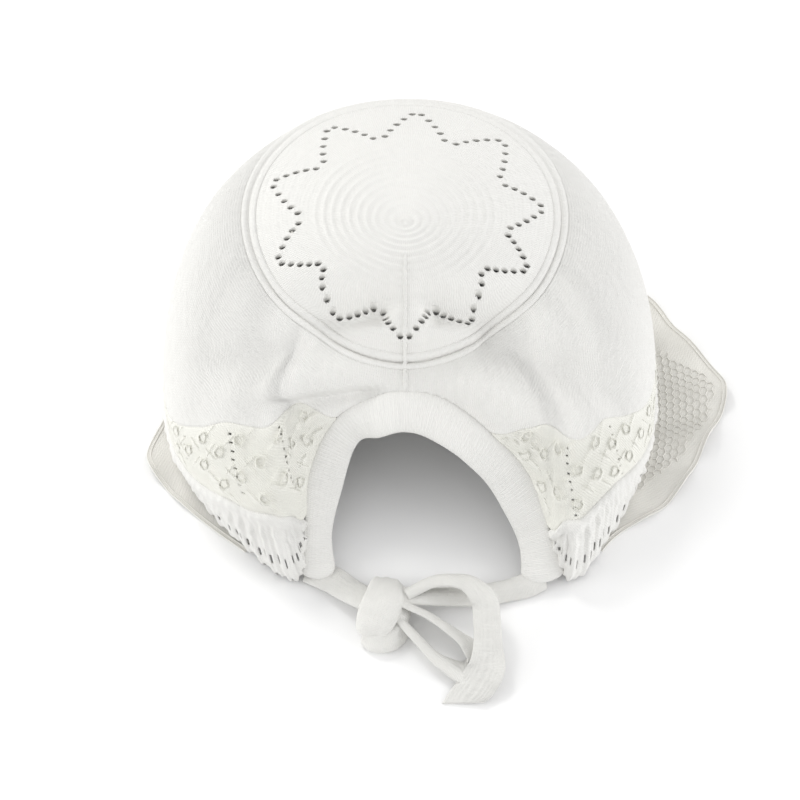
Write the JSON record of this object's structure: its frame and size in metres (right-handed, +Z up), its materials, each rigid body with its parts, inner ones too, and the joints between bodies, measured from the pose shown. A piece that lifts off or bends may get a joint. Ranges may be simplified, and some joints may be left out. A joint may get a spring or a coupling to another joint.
{
  "type": "embroidered baby hat",
  "caption": "Soft knitted baby bonnet with a round openwork back, rolled neck band, embroidered cheek band, gathered frill, net ruffle and tied chin tapes.",
  "frame": {"origin": "middle of the footprint, on the surface that the face opening rests on", "axes": "+X across the hat to the right as seen from behind, +Y toward the forehead side, +Z up, away from the surface, toward the back of the head"},
  "size_m": [0.1896, 0.1964, 0.0845],
  "materials": {
    "knit_white": "matte",
    "band_cream": "matte",
    "frill_white": "matte",
    "net_beige": "matte",
    "tape_offwhite": "matte"
  },
  "bodies": {
    "root": {"back_disc": "knit_white", "ridge_ring": "knit_white", "knit_sides": "knit_white", "back_seam": "knit_white", "neck_band": "knit_white", "embroidered_band": "band_cream", "front_frill": "frill_white", "tulle_ruffle": "net_beige", "tie_left": "tape_offwhite", "tie_right": "tape_offwhite", "bow_loop": "tape_offwhite", "bow_tail": "tape_offwhite", "bow_knot": "tape_offwhite"}
  },
  "joints": []
}
